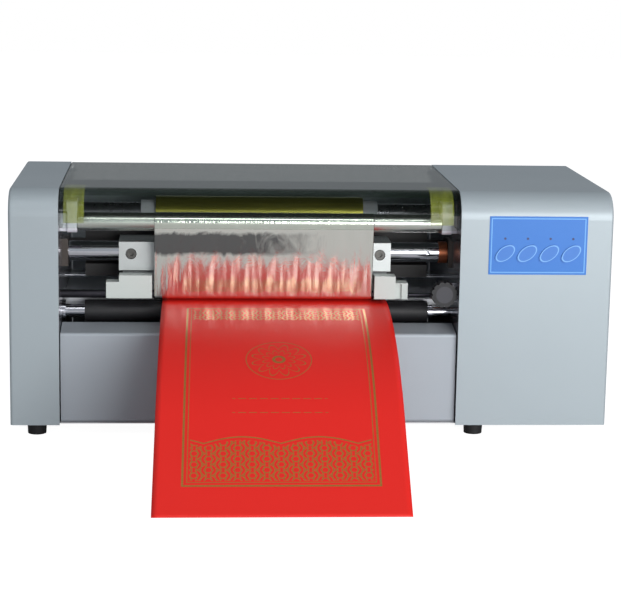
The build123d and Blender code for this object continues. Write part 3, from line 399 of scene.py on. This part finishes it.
# ---- Foil web
# Silver foil film under light tension. It runs from the roll under the rear rod, over the card, round the
# peel rod and up to the take-up tube. Heat has puckered it, so it mirrors the card in streaks.
web_low, web_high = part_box("foil_web")
web_thickness = 0.0002
tube_low, tube_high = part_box("take_up_tube")
tube_radius = (tube_high.z - tube_low.z) / 2
tube_y = (tube_low.y + tube_high.y) / 2
tube_z = (tube_low.z + tube_high.z) / 2
sleeve_low, sleeve_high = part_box("platen_sleeve")
nip_y = (sleeve_low.y + sleeve_high.y) / 2
peel_low, peel_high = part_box("peel_rod")
peel_y = (peel_low.y + peel_high.y) / 2
peel_z = (peel_low.z + peel_high.z) / 2
peel_radius = (peel_high.z - peel_low.z) / 2
rod_low, rod_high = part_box("rear_foil_rod")
rear_rod_y = (rod_low.y + rod_high.y) / 2
rear_rod_z = (rod_low.z + rod_high.z) / 2
rear_rod_radius = (rod_high.z - rod_low.z) / 2
roll_low, roll_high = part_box("foil_roll")
roll_y = (roll_low.y + roll_high.y) / 2
roll_z = (roll_low.z + roll_high.z) / 2
roll_radius = (roll_high.z - roll_low.z) / 2


def common_tangent(y1, z1, r1, y2, z2, r2):
    """Where a straight run leaves one roller and meets the next, both on the far side of it."""
    along = math.atan2(z2 - z1, y2 - y1)
    lean = math.asin((r1 - r2) / math.hypot(y2 - y1, z2 - z1))
    normal = along - math.pi / 2 + lean
    return ((y1 + r1 * math.cos(normal), z1 + r1 * math.sin(normal)),
            (y2 + r2 * math.cos(normal), z2 + r2 * math.sin(normal)), normal)


def arc(y, z, radius, first, last, steps):
    """Points round a roller between two angles."""
    return [(y + radius * math.cos(first + (last - first) * step / steps),
             z + radius * math.sin(first + (last - first) * step / steps)) for step in range(steps + 1)]


def run(first, last, steps):
    """Points inside a straight run."""
    return [(first[0] + (last[0] - first[0]) * step / steps,
             first[1] + (last[1] - first[1]) * step / steps) for step in range(1, steps)]


roll_clearance = 0.0004
rod_clearance = 0.00025
nip_lift = 0.00006
wrap_tube = tube_radius + roll_clearance
wrap_peel = peel_radius + rod_clearance
wrap_rear = rear_rod_radius + rod_clearance
wrap_roll = roll_radius + roll_clearance
nip_z = web_low.z + nip_lift
_, peel_touch, down_angle = common_tangent(tube_y, tube_z, wrap_tube, peel_y, peel_z, wrap_peel)
tube_touch = (tube_y + wrap_tube * math.cos(down_angle), tube_z + wrap_tube * math.sin(down_angle))
rear_touch, roll_touch, up_angle = common_tangent(rear_rod_y, rear_rod_z, wrap_rear,
                                                  roll_y, roll_z, wrap_roll)
leave_reach = math.hypot(nip_y - peel_y, nip_z - peel_z)
leave_angle = math.atan2(nip_z - peel_z, nip_y - peel_y) - math.acos(wrap_peel / leave_reach)
arrive_reach = math.hypot(nip_y - rear_rod_y, nip_z - rear_rod_z)
arrive_angle = math.atan2(nip_z - rear_rod_z, nip_y - rear_rod_y) + math.acos(wrap_rear / arrive_reach)
full_turn = 2 * math.pi
down_start = down_angle % full_turn
web_path = arc(tube_y, tube_z, wrap_tube, math.radians(80), down_start, 16)
front_start = len(web_path)
web_path += run(tube_touch, peel_touch, 44)
front_end = len(web_path)
web_path += arc(peel_y, peel_z, wrap_peel, down_start, leave_angle % full_turn, 10)
web_path += run(web_path[-1], (nip_y, nip_z), 6) + [(nip_y, nip_z)]
rear_arc = arc(rear_rod_y, rear_rod_z, wrap_rear, arrive_angle, up_angle, 8)
web_path += run((nip_y, nip_z), rear_arc[0], 8) + rear_arc
web_path += run(rear_touch, roll_touch, 14) + [roll_touch]

web_columns = 150
web_mesh = bpy.data.meshes.new("foil_film")
web_build = bmesh.new()
web_uv = web_build.loops.layers.uv.new("along")
web_grid = []
travelled = [0.0]
for (y1, z1), (y2, z2) in zip(web_path, web_path[1:]):
    travelled.append(travelled[-1] + math.hypot(y2 - y1, z2 - z1))
front_span = travelled[front_end] - travelled[front_start]
pucker = 0.00022
for row, (y, z) in enumerate(web_path):
    inside = (travelled[row] - travelled[front_start]) / front_span
    calm = max(0.0, math.sin(math.pi * min(max(inside, 0), 1))) ** 0.5
    line = []
    for column in range(web_columns + 1):
        x = web_low.x + (web_high.x - web_low.x) * column / web_columns
        wave = (math.sin(x * 310 + 4 * inside) + 0.8 * math.sin(x * 523 + 1.3 + 6 * inside)
                + 0.7 * math.sin(x * 181 + 2.1) + 0.5 * math.sin(x * 890 - 3 * inside))
        sag = pucker * calm * wave * (0.35 + 0.65 * inside)
        line.append(web_build.verts.new((x, y - sag, z)))
    web_grid.append(line)
for row in range(len(web_path) - 1):
    for column in range(web_columns):
        face = web_build.faces.new((web_grid[row][column], web_grid[row][column + 1],
                                    web_grid[row + 1][column + 1], web_grid[row + 1][column]))
        face.smooth = True
        for loop, (u, v) in zip(face.loops, ((0, 0), (1, 0), (1, 1), (0, 1))):
            loop[web_uv].uv = ((column + u) / web_columns, travelled[row + v] / travelled[-1])
web_build.normal_update()
web_build.to_mesh(web_mesh)
web_build.free()
foil_film = bpy.data.objects.new("foil_film", web_mesh)
bpy.context.scene.collection.objects.link(foil_film)
film_wall = foil_film.modifiers.new("wall", "SOLIDIFY")
film_wall.thickness = web_thickness
film_wall.offset = 0
film_finish = Finish("silver_film", Metallic=1.0)
across, along, _ = film_finish.axes(film_finish.node("ShaderNodeUVMap", {"uv_map": "along"}))
streak = film_finish.noise(420, stretch=(1, 0.04, 0.04), detail=3, rough=0.6)
crease = film_finish.noise(60, stretch=(1, 0.3, 0.5), detail=5, rough=0.65, warp=1.5)
front_from = travelled[front_start] / travelled[-1]
front_to = travelled[front_end] / travelled[-1]
down = (along - front_from) / (front_to - front_from) + (crease - 0.5) * 0.16
# A soft dark grey band is painted into the colour, in the upper part of the front run towards the left.
dark_band = down.above(0.10, 0.05) * down.below(0.40, 0.06) * (across * -1 + crease * 0.5 + 0.62).above(0.25, 0.3)
bright_film = film_finish.blend(crease, shade(226, 226, 216), shade(246, 245, 236))
film_finish.feed(Base_Color=film_finish.blend(dark_band * 0.85, bright_film, shade(74, 74, 78)),
                 Roughness=streak * 0.06 + crease * 0.10 + 0.02)
film_finish.bump(streak * 0.5 + crease * 0.5, 0.0005)
web_mesh.materials.append(film_finish.material)
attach(foil_film, "chassis")
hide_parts("foil_web")

# ---- Printed card
# Smooth red card, stamped in gold with a border, rows of fans, a rosette and short rules. It comes out of the
# nip and bends down to the desk.
card_low, card_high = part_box("printed_sheet")
card_thickness = 0.0004
card_tail = -0.035
card_bend_start = -0.07
card_bend_radius = 0.4
card_bend = math.radians(33)
card_skew = math.radians(1.1)
card_top = card_high.z
bend_end = (card_bend_start - card_bend_radius * math.sin(card_bend),
            card_top - card_bend_radius * (1 - math.cos(card_bend)))
free_length = (bend_end[1] - card_low.z - card_thickness * math.cos(card_bend)) / math.sin(card_bend)
card_length = card_tail - card_bend_start + card_bend_radius * card_bend + free_length
card_rows = 110
card_columns = 40
card_mesh = bpy.data.meshes.new("red_card")
card_build = bmesh.new()
card_uv = card_build.loops.layers.uv.new("print")
card_grid = []
for row in range(card_rows + 1):
    gone = card_length * row / card_rows
    level = card_tail - card_bend_start
    if gone < level:
        y, z = card_tail - gone, card_top
    elif gone < level + card_bend_radius * card_bend:
        angle = (gone - level) / card_bend_radius
        y = card_bend_start - card_bend_radius * math.sin(angle)
        z = card_top - card_bend_radius * (1 - math.cos(angle))
    else:
        rest = gone - level - card_bend_radius * card_bend
        y = bend_end[0] - rest * math.cos(card_bend)
        z = bend_end[1] - rest * math.sin(card_bend)
    drift = max(gone - level, 0) * math.tan(card_skew)
    card_grid.append([card_build.verts.new((card_low.x + (card_high.x - card_low.x) * column / card_columns
                                            - drift, y, z)) for column in range(card_columns + 1)])
for row in range(card_rows):
    for column in range(card_columns):
        face = card_build.faces.new((card_grid[row][column], card_grid[row + 1][column],
                                     card_grid[row + 1][column + 1], card_grid[row][column + 1]))
        face.smooth = True
        for loop, (u, v) in zip(face.loops, ((0, 0), (0, 1), (1, 1), (1, 0))):
            loop[card_uv].uv = ((column + u) / card_columns, (row + v) / card_rows)
card_build.normal_update()
card_build.to_mesh(card_mesh)
card_build.free()
red_card = bpy.data.objects.new("red_card", card_mesh)
bpy.context.scene.collection.objects.link(red_card)
card_wall = red_card.modifiers.new("wall", "SOLIDIFY")
card_wall.thickness = card_thickness
card_wall.offset = -1

card_finish = Finish("stamped_card", Specular_IOR_Level=0.4)
print_across, print_along, _ = card_finish.axes(card_finish.node("ShaderNodeUVMap", {"uv_map": "print"}))
width_mm = (card_high.x - card_low.x) * 1000
length_mm = card_length * 1000
a = print_across * width_mm - width_mm / 2
s = print_along * length_mm
line_soft = 0.5


def outline(distance, half_width):
    """A printed line along the places where distance is 0."""
    return distance.size().below(half_width, line_soft)


frame_middle = 210.0
frame_half_long = 140.0
frame_half_wide = 88.0
foot_depth = 52
head_depth = 34
medal_rise = 24
medal_radius = 31
petal_low, petal_reach = 17, 9
rule_first, rule_pitch, rule_half_long = 34, 9, 44
beyond = (a.size() - frame_half_wide).high((s - frame_middle).size() - frame_half_long)
border = outline(beyond, 0.9).high(outline(beyond + 4.0, 0.35))


def scales(period, rings):
    """Rows of overlapping fans."""
    fan = None
    for shift_a, shift_s in ((0, 0), (period, period * 0.5)):
        da = (a + shift_a).wrap(period)
        ds = (s + shift_s).wrap(period * 0.5)
        reach = (da * da + ds * ds) ** 0.5
        for ring in rings:
            band = outline(reach - period * ring, 0.5)
            fan = band if fan is None else fan.high(band)
    return fan


within = beyond.below(-6.0, 1.0)
head_band = (s - frame_middle).below(-frame_half_long + head_depth, 1.0) * within
swell = (a * 0.045).sine() * 8
foot_edge = s - (frame_middle + frame_half_long - foot_depth) + swell.size()
fans = scales(13.0, (0.25, 0.55, 0.85))
bands = fans * (foot_edge.above(6, 1.0) * within).high(head_band)
edge_line = outline(foot_edge - 2, 0.7) * within
medal_s = s - (frame_middle - medal_rise)
medal_reach = (a * a + medal_s * medal_s) ** 0.5
medal_turn = card_finish.node("ShaderNodeMath", {"operation": "ARCTAN2"})
card_finish.give(medal_turn.socket.node.inputs[0], medal_s)
card_finish.give(medal_turn.socket.node.inputs[1], a)
petal = (medal_turn * 6).sine().size() * petal_reach + petal_low
medal = outline(medal_reach - petal, 0.6).high(outline(medal_reach - petal * 0.6, 0.5))
medal = medal.high(outline(medal_reach - medal_radius, 0.4)).high(outline(medal_reach - 5, 1.4))
rule_near = (s - (frame_middle + rule_first + rule_pitch)).size().below(13, 0.5)
rule = outline((s - (frame_middle + rule_first)).wrap(rule_pitch), 0.3) * rule_near
rule = rule * a.size().below(rule_half_long, 1.0) * a.wrap(5).above(1.4, 0.6)
gold = border.high(bands).high(edge_line).high(medal).high(rule).join("ADD", 0, clamp=True)
worn = card_finish.noise(900, detail=3)
gold = gold * worn.above(0.22, 0.15)
fibre = card_finish.noise(1600, detail=3)
card_red = card_finish.blend(fibre, shade(224, 26, 16), shade(234, 34, 22))
gold_tint = card_finish.blend(worn, shade(150, 104, 46), shade(190, 144, 72))
card_finish.feed(Base_Color=card_finish.blend(gold, card_red, gold_tint), Metallic=gold * 0.7,
                 Roughness=0.42 + fibre * 0.08 - gold * 0.12)
card_finish.bump(fibre * 0.5 - gold * 0.5, 0.00003)
card_mesh.materials.append(card_finish.material)
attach(red_card, "sheet")
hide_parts("printed_sheet")

# ---- Key panel
# A blue printed film over a window in the right casing, with four oval keys in front of it. Four dark spots
# mark the unlit lamps, and the boards behind are green.
film_low, film_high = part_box("membrane_panel")
panel_film = Finish("panel_film", Specular_IOR_Level=0.4)
x_place, _, z_place = panel_film.axes()
half_width = (film_high.x - film_low.x) / 2 * 1000
half_height = (film_high.z - film_low.z) / 2 * 1000
panel_a = (x_place * 1000 - (film_low.x + film_high.x) * 500).size() - half_width
panel_s = (z_place * 1000 - (film_low.z + film_high.z) * 500).size() - half_height
rim = panel_a.high(panel_s)
line_light = (rim + 2.3).size().below(0.5, 0.4)
film_grain = panel_film.noise(2400, detail=2)
film_blue = panel_film.blend(film_grain, shade(50, 114, 196), shade(60, 126, 208))
lamp_count = 4
lamp_first, lamp_pitch, lamp_up, lamp_radius = 15.9, 22.8, 36.3, 1.2
lamp_spot = None
for lamp in range(lamp_count):
    lamp_x = film_low.x * 1000 + lamp_first + lamp * lamp_pitch
    lamp_z = film_low.z * 1000 + lamp_up
    lamp_dx = x_place * 1000 - lamp_x
    lamp_dz = z_place * 1000 - lamp_z
    spot = ((lamp_dx * lamp_dx + lamp_dz * lamp_dz) ** 0.5).below(lamp_radius, 0.3)
    lamp_spot = spot if lamp_spot is None else lamp_spot.high(spot)
film_lit = panel_film.blend(line_light * 0.75, film_blue, shade(128, 188, 240))
panel_film.feed(Base_Color=panel_film.blend(lamp_spot * 0.9, film_lit, shade(58, 50, 78)),
                Roughness=film_grain * 0.12 + 0.34)
panel_film.bump(film_grain, 0.00001)
panel_film.wear("membrane_panel")

key_tilt = math.radians(38)
key_long, key_short = 11.8, 6.8
for key_name in ("stop_key", "test_key", "back_key", "feed_key"):
    key_low, key_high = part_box(key_name)
    key_film = Finish(key_name + "_film")
    key_x, _, key_z = key_film.axes()
    off_x = key_x * 1000 - (key_low.x + key_high.x) * 500
    off_z = key_z * 1000 - (key_low.z + key_high.z) * 500
    turned = off_x * math.cos(key_tilt) + off_z * math.sin(key_tilt)
    lifted = off_z * math.cos(key_tilt) - off_x * math.sin(key_tilt)
    oval = ((turned / key_long) ** 2 + (lifted / key_short) ** 2) ** 0.5
    rim_line = (oval - 0.88).size().below(0.05, 0.05)
    key_grain = key_film.noise(2400, detail=2)
    key_blue = key_film.blend(key_grain, shade(50, 112, 194), shade(62, 126, 208))
    key_film.feed(Base_Color=key_film.blend(rim_line * 0.8, key_blue, shade(132, 190, 242)),
                  Roughness=key_grain * 0.12 + 0.32)
    key_film.wear(key_name)
board_finish = Finish("board_resist", Roughness=0.3)
board_finish.feed(Base_Color=board_finish.blend(board_finish.noise(500, detail=3), shade(18, 70, 40),
                                               shade(28, 92, 54)))
board_finish.wear("key_board", "control_board")

# ---- Pressure knob
# A black moulded hand knob in front of the lug of the right side plate. A paler disc fills the middle of its
# face.
knob_low, knob_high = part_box("pressure_knob")
knob_finish = moulded_plastic("knob_plastic", shade(26, 26, 29), 0.38)
knob_x, _, knob_z = knob_finish.axes()
knob_dx = knob_x - (knob_low.x + knob_high.x) / 2
knob_dz = knob_z - (knob_low.z + knob_high.z) / 2
disc_radius = 0.0085
knob_disc = ((knob_dx * knob_dx + knob_dz * knob_dz) ** 0.5).below(disc_radius, 0.0006)
knob_finish.feed(Base_Color=knob_finish.blend(knob_disc, shade(24, 24, 27), shade(58, 58, 64)))
knob_finish.wear("pressure_knob")

# ---- Mains inlet
# A moulded appliance inlet with a rocker switch, set into the back of the right casing. Both are black, and
# the rocker is the glossier.
moulded_plastic("inlet_plastic", shade(24, 24, 25), 0.45).wear("mains_inlet")
moulded_plastic("rocker_plastic", shade(20, 20, 21), 0.3).wear("power_rocker")

# ---- Clear cover
# Bent acrylic on two hinge pins at the back. Its flat top carries a dark green skin, a painted reflection
# of dark surroundings, and its front and rounding stay clear, because the skin fades out towards the
# rounding.
cover_low, cover_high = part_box("clear_cover")
acrylic = Finish("cover_acrylic", Roughness=0.05, Specular_IOR_Level=0.06)
cloud = acrylic.noise(7, stretch=(1, 0.4, 1), detail=3)
acrylic.feed(Base_Color=acrylic.blend(cloud, shade(16, 24, 19), shade(44, 58, 48)))
_, cover_y, cover_z = acrylic.axes()
# The dark green skin on the flat top is painted reflection: it stands for the dark room that the top mirrors.
skin_depth, skin_from = 0.0045, 0.016
skin_fade = (cover_y - cover_low.y).above(skin_from, 0.02)
top_reflection_skin = (cover_z - cover_high.z).size().below(skin_depth, 0.004) * skin_fade
mirror = acrylic.node("ShaderNodeFresnel", IOR=1.35)
opaque = (top_reflection_skin * 0.80).high(mirror * 0.5 + 0.02)
see_through = acrylic.node("ShaderNodeBsdfTransparent", Color=shade(250, 253, 251))
mixed = acrylic.nodes.new("ShaderNodeMixShader")
acrylic.give(mixed.inputs[0], opaque)
acrylic.links.new(see_through.socket, mixed.inputs[1])
acrylic.links.new(acrylic.shader.outputs[0], mixed.inputs[2])
acrylic.links.new(mixed.outputs[0], acrylic.nodes["Material Output"].inputs[0])
acrylic.wear("clear_cover")

# ---- Cover tapes
# Two pieces of yellow-green packing tape, pressed over the cover's rounding near its ends. They ride on the
# cover and open with it.
tape_spans = ((0.0042, 0.0242), (-0.0298, -0.0068))
tape_thickness = 0.00012
nose_radius = 0.026
tape_back = 0.018
tape_front = 0.006
tape_steps = 14
nose_y = cover_low.y + nose_radius
nose_z = cover_high.z - nose_radius
tape_path = [(cover_low.y - tape_thickness, nose_z - tape_front)]
for step in range(tape_steps + 1):
    turned = math.pi - math.pi / 2 * step / tape_steps
    tape_path.append((nose_y + (nose_radius + tape_thickness) * math.cos(turned),
                      nose_z + (nose_radius + tape_thickness) * math.sin(turned)))
tape_path.append((nose_y + tape_back, cover_high.z + tape_thickness))
tape_finish = Finish("packing_tape", Roughness=0.22)
tape_wrinkle = tape_finish.noise(180, stretch=(1, 0.3, 0.3), detail=4)
tape_finish.feed(Base_Color=tape_finish.blend(tape_wrinkle, shade(88, 98, 22), shade(150, 160, 52)),
                 Alpha=tape_wrinkle * 0.3 + 0.4)
tape_finish.bump(tape_wrinkle, 0.0002)
for name, (from_left, to_right) in zip(("left_tape", "right_tape"), tape_spans):
    edge = cover_low.x if from_left > 0 else cover_high.x
    tape_mesh = bpy.data.meshes.new(name)
    corners = [(x, y, z) for y, z in tape_path for x in (edge + from_left, edge + to_right)]
    quads = [(2 * row, 2 * row + 1, 2 * row + 3, 2 * row + 2) for row in range(len(tape_path) - 1)]
    tape_mesh.from_pydata(corners, [], quads)
    tape_mesh.shade_smooth()
    tape_mesh.materials.append(tape_finish.material)
    tape = bpy.data.objects.new(name, tape_mesh)
    bpy.context.scene.collection.objects.link(tape)
    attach(tape, "cover")

# ---- Studio
# A white floor in a world that is white to the camera, one large soft lamp in front, two weak strips above,
# and the camera.
reach = 6
floor_glow, floor_share = 1.75, 0.55
floor_mesh = bpy.data.meshes.new("studio_floor")
floor_mesh.from_pydata([(-reach, -reach, 0), (reach, -reach, 0), (reach, reach, 0), (-reach, reach, 0)], [],
                       [(0, 1, 2, 3)])
studio_floor = bpy.data.objects.new("studio_floor", floor_mesh)
bpy.context.scene.collection.objects.link(studio_floor)
floor_finish = Finish("floor_white", Roughness=0.9)
floor_finish.feed(Base_Color=floor_finish.blend(floor_finish.noise(3, detail=2), (0.86, 0.86, 0.86, 1),
                                                (0.88, 0.88, 0.88, 1)))
seen = floor_finish.nodes.new("ShaderNodeLightPath")
glow = floor_finish.node("ShaderNodeEmission", Color=(1, 1, 1, 1), Strength=floor_glow)
shown = Term(floor_finish, seen.outputs["Is Camera Ray"]) * floor_share
floor_mix = floor_finish.nodes.new("ShaderNodeMixShader")
floor_finish.give(floor_mix.inputs[0], shown)
floor_finish.links.new(floor_finish.shader.outputs[0], floor_mix.inputs[1])
floor_finish.links.new(glow.socket, floor_mix.inputs[2])
floor_finish.links.new(floor_mix.outputs[0], floor_finish.nodes["Material Output"].inputs[0])
floor_mesh.materials.append(floor_finish.material)

world = bpy.data.worlds.new("studio")
bpy.context.scene.world = world
world.use_nodes = True
sky = world.node_tree
sky_path = sky.nodes.new("ShaderNodeLightPath")
sky_through = sky.nodes.new("ShaderNodeMath")
sky_through.operation = "MAXIMUM"
sky.links.new(sky_path.outputs["Is Glossy Ray"], sky_through.inputs[0])
sky.links.new(sky_path.outputs["Is Transmission Ray"], sky_through.inputs[1])
sky_colour = sky.nodes.new("ShaderNodeMix")
sky_colour.data_type = "RGBA"
sky_colour.inputs[Finish.first_colour].default_value = (0.20, 0.21, 0.23, 1)
sky_colour.inputs[Finish.second_colour].default_value = (0.42, 0.45, 0.48, 1)
sky.links.new(sky_through.outputs[0], sky_colour.inputs[0])
sky_white = sky.nodes.new("ShaderNodeMix")
sky_white.data_type = "RGBA"
sky_white.inputs[Finish.second_colour].default_value = (1, 1, 1, 1)
sky.links.new(sky_path.outputs["Is Camera Ray"], sky_white.inputs[0])
sky.links.new(sky_colour.outputs[Finish.mixed_colour], sky_white.inputs[Finish.first_colour])
sky.links.new(sky_white.outputs[Finish.mixed_colour], sky.nodes["Background"].inputs["Color"])


def soft_lamp(name, place, aim, wide, tall, power):
    """A rectangular soft lamp that faces a point."""
    lamp_data = bpy.data.lights.new(name, "AREA")
    lamp_data.shape = "RECTANGLE"
    lamp_data.size = wide
    lamp_data.size_y = tall
    lamp_data.energy = power
    lamp = bpy.data.objects.new(name, lamp_data)
    bpy.context.scene.collection.objects.link(lamp)
    direction = Vector(aim) - Vector(place)
    lamp.matrix_world = Matrix.Translation(place) @ direction.to_track_quat("-Z", "Y").to_matrix().to_4x4()


soft_lamp("front_lamp", (1.3, -2.7, 0.62), (0.0, 0.0, 0.12), 2.2, 1.1, 70)
soft_lamp("strip_lamp", (0.0, -1.3, 1.5), (0.0, -0.1, 0.2), 2.4, 0.10, 5)
soft_lamp("high_strip", (0.0, -0.6, 1.7), (0.0, -0.1, 0.2), 2.4, 0.06, 2)

camera_data = bpy.data.cameras.new("camera")
camera_data.sensor_width = 36
camera_data.lens = 110.9
camera_data.clip_end = 50
camera = bpy.data.objects.new("camera", camera_data)
bpy.context.scene.collection.objects.link(camera)
camera_place = Vector((-0.1315, -1.984, 0.4989))
yaw, pitch, roll = 0.06917, 0.18727, 0.01687
level = Vector((math.sin(yaw), math.cos(yaw), 0))
side = Vector((math.cos(yaw), -math.sin(yaw), 0))
upright = Vector((0, 0, 1)) * math.cos(pitch) + level * math.sin(pitch)
ahead = level * math.cos(pitch) - Vector((0, 0, 1)) * math.sin(pitch)
camera_right = side * math.cos(roll) + upright * math.sin(roll)
camera_up = upright * math.cos(roll) - side * math.sin(roll)
turn = Matrix((camera_right, camera_up, -ahead)).transposed()
camera.matrix_world = Matrix.Translation(camera_place) @ turn.to_4x4()
bpy.context.scene.camera = camera
bpy.context.scene.view_settings.view_transform = "Standard"
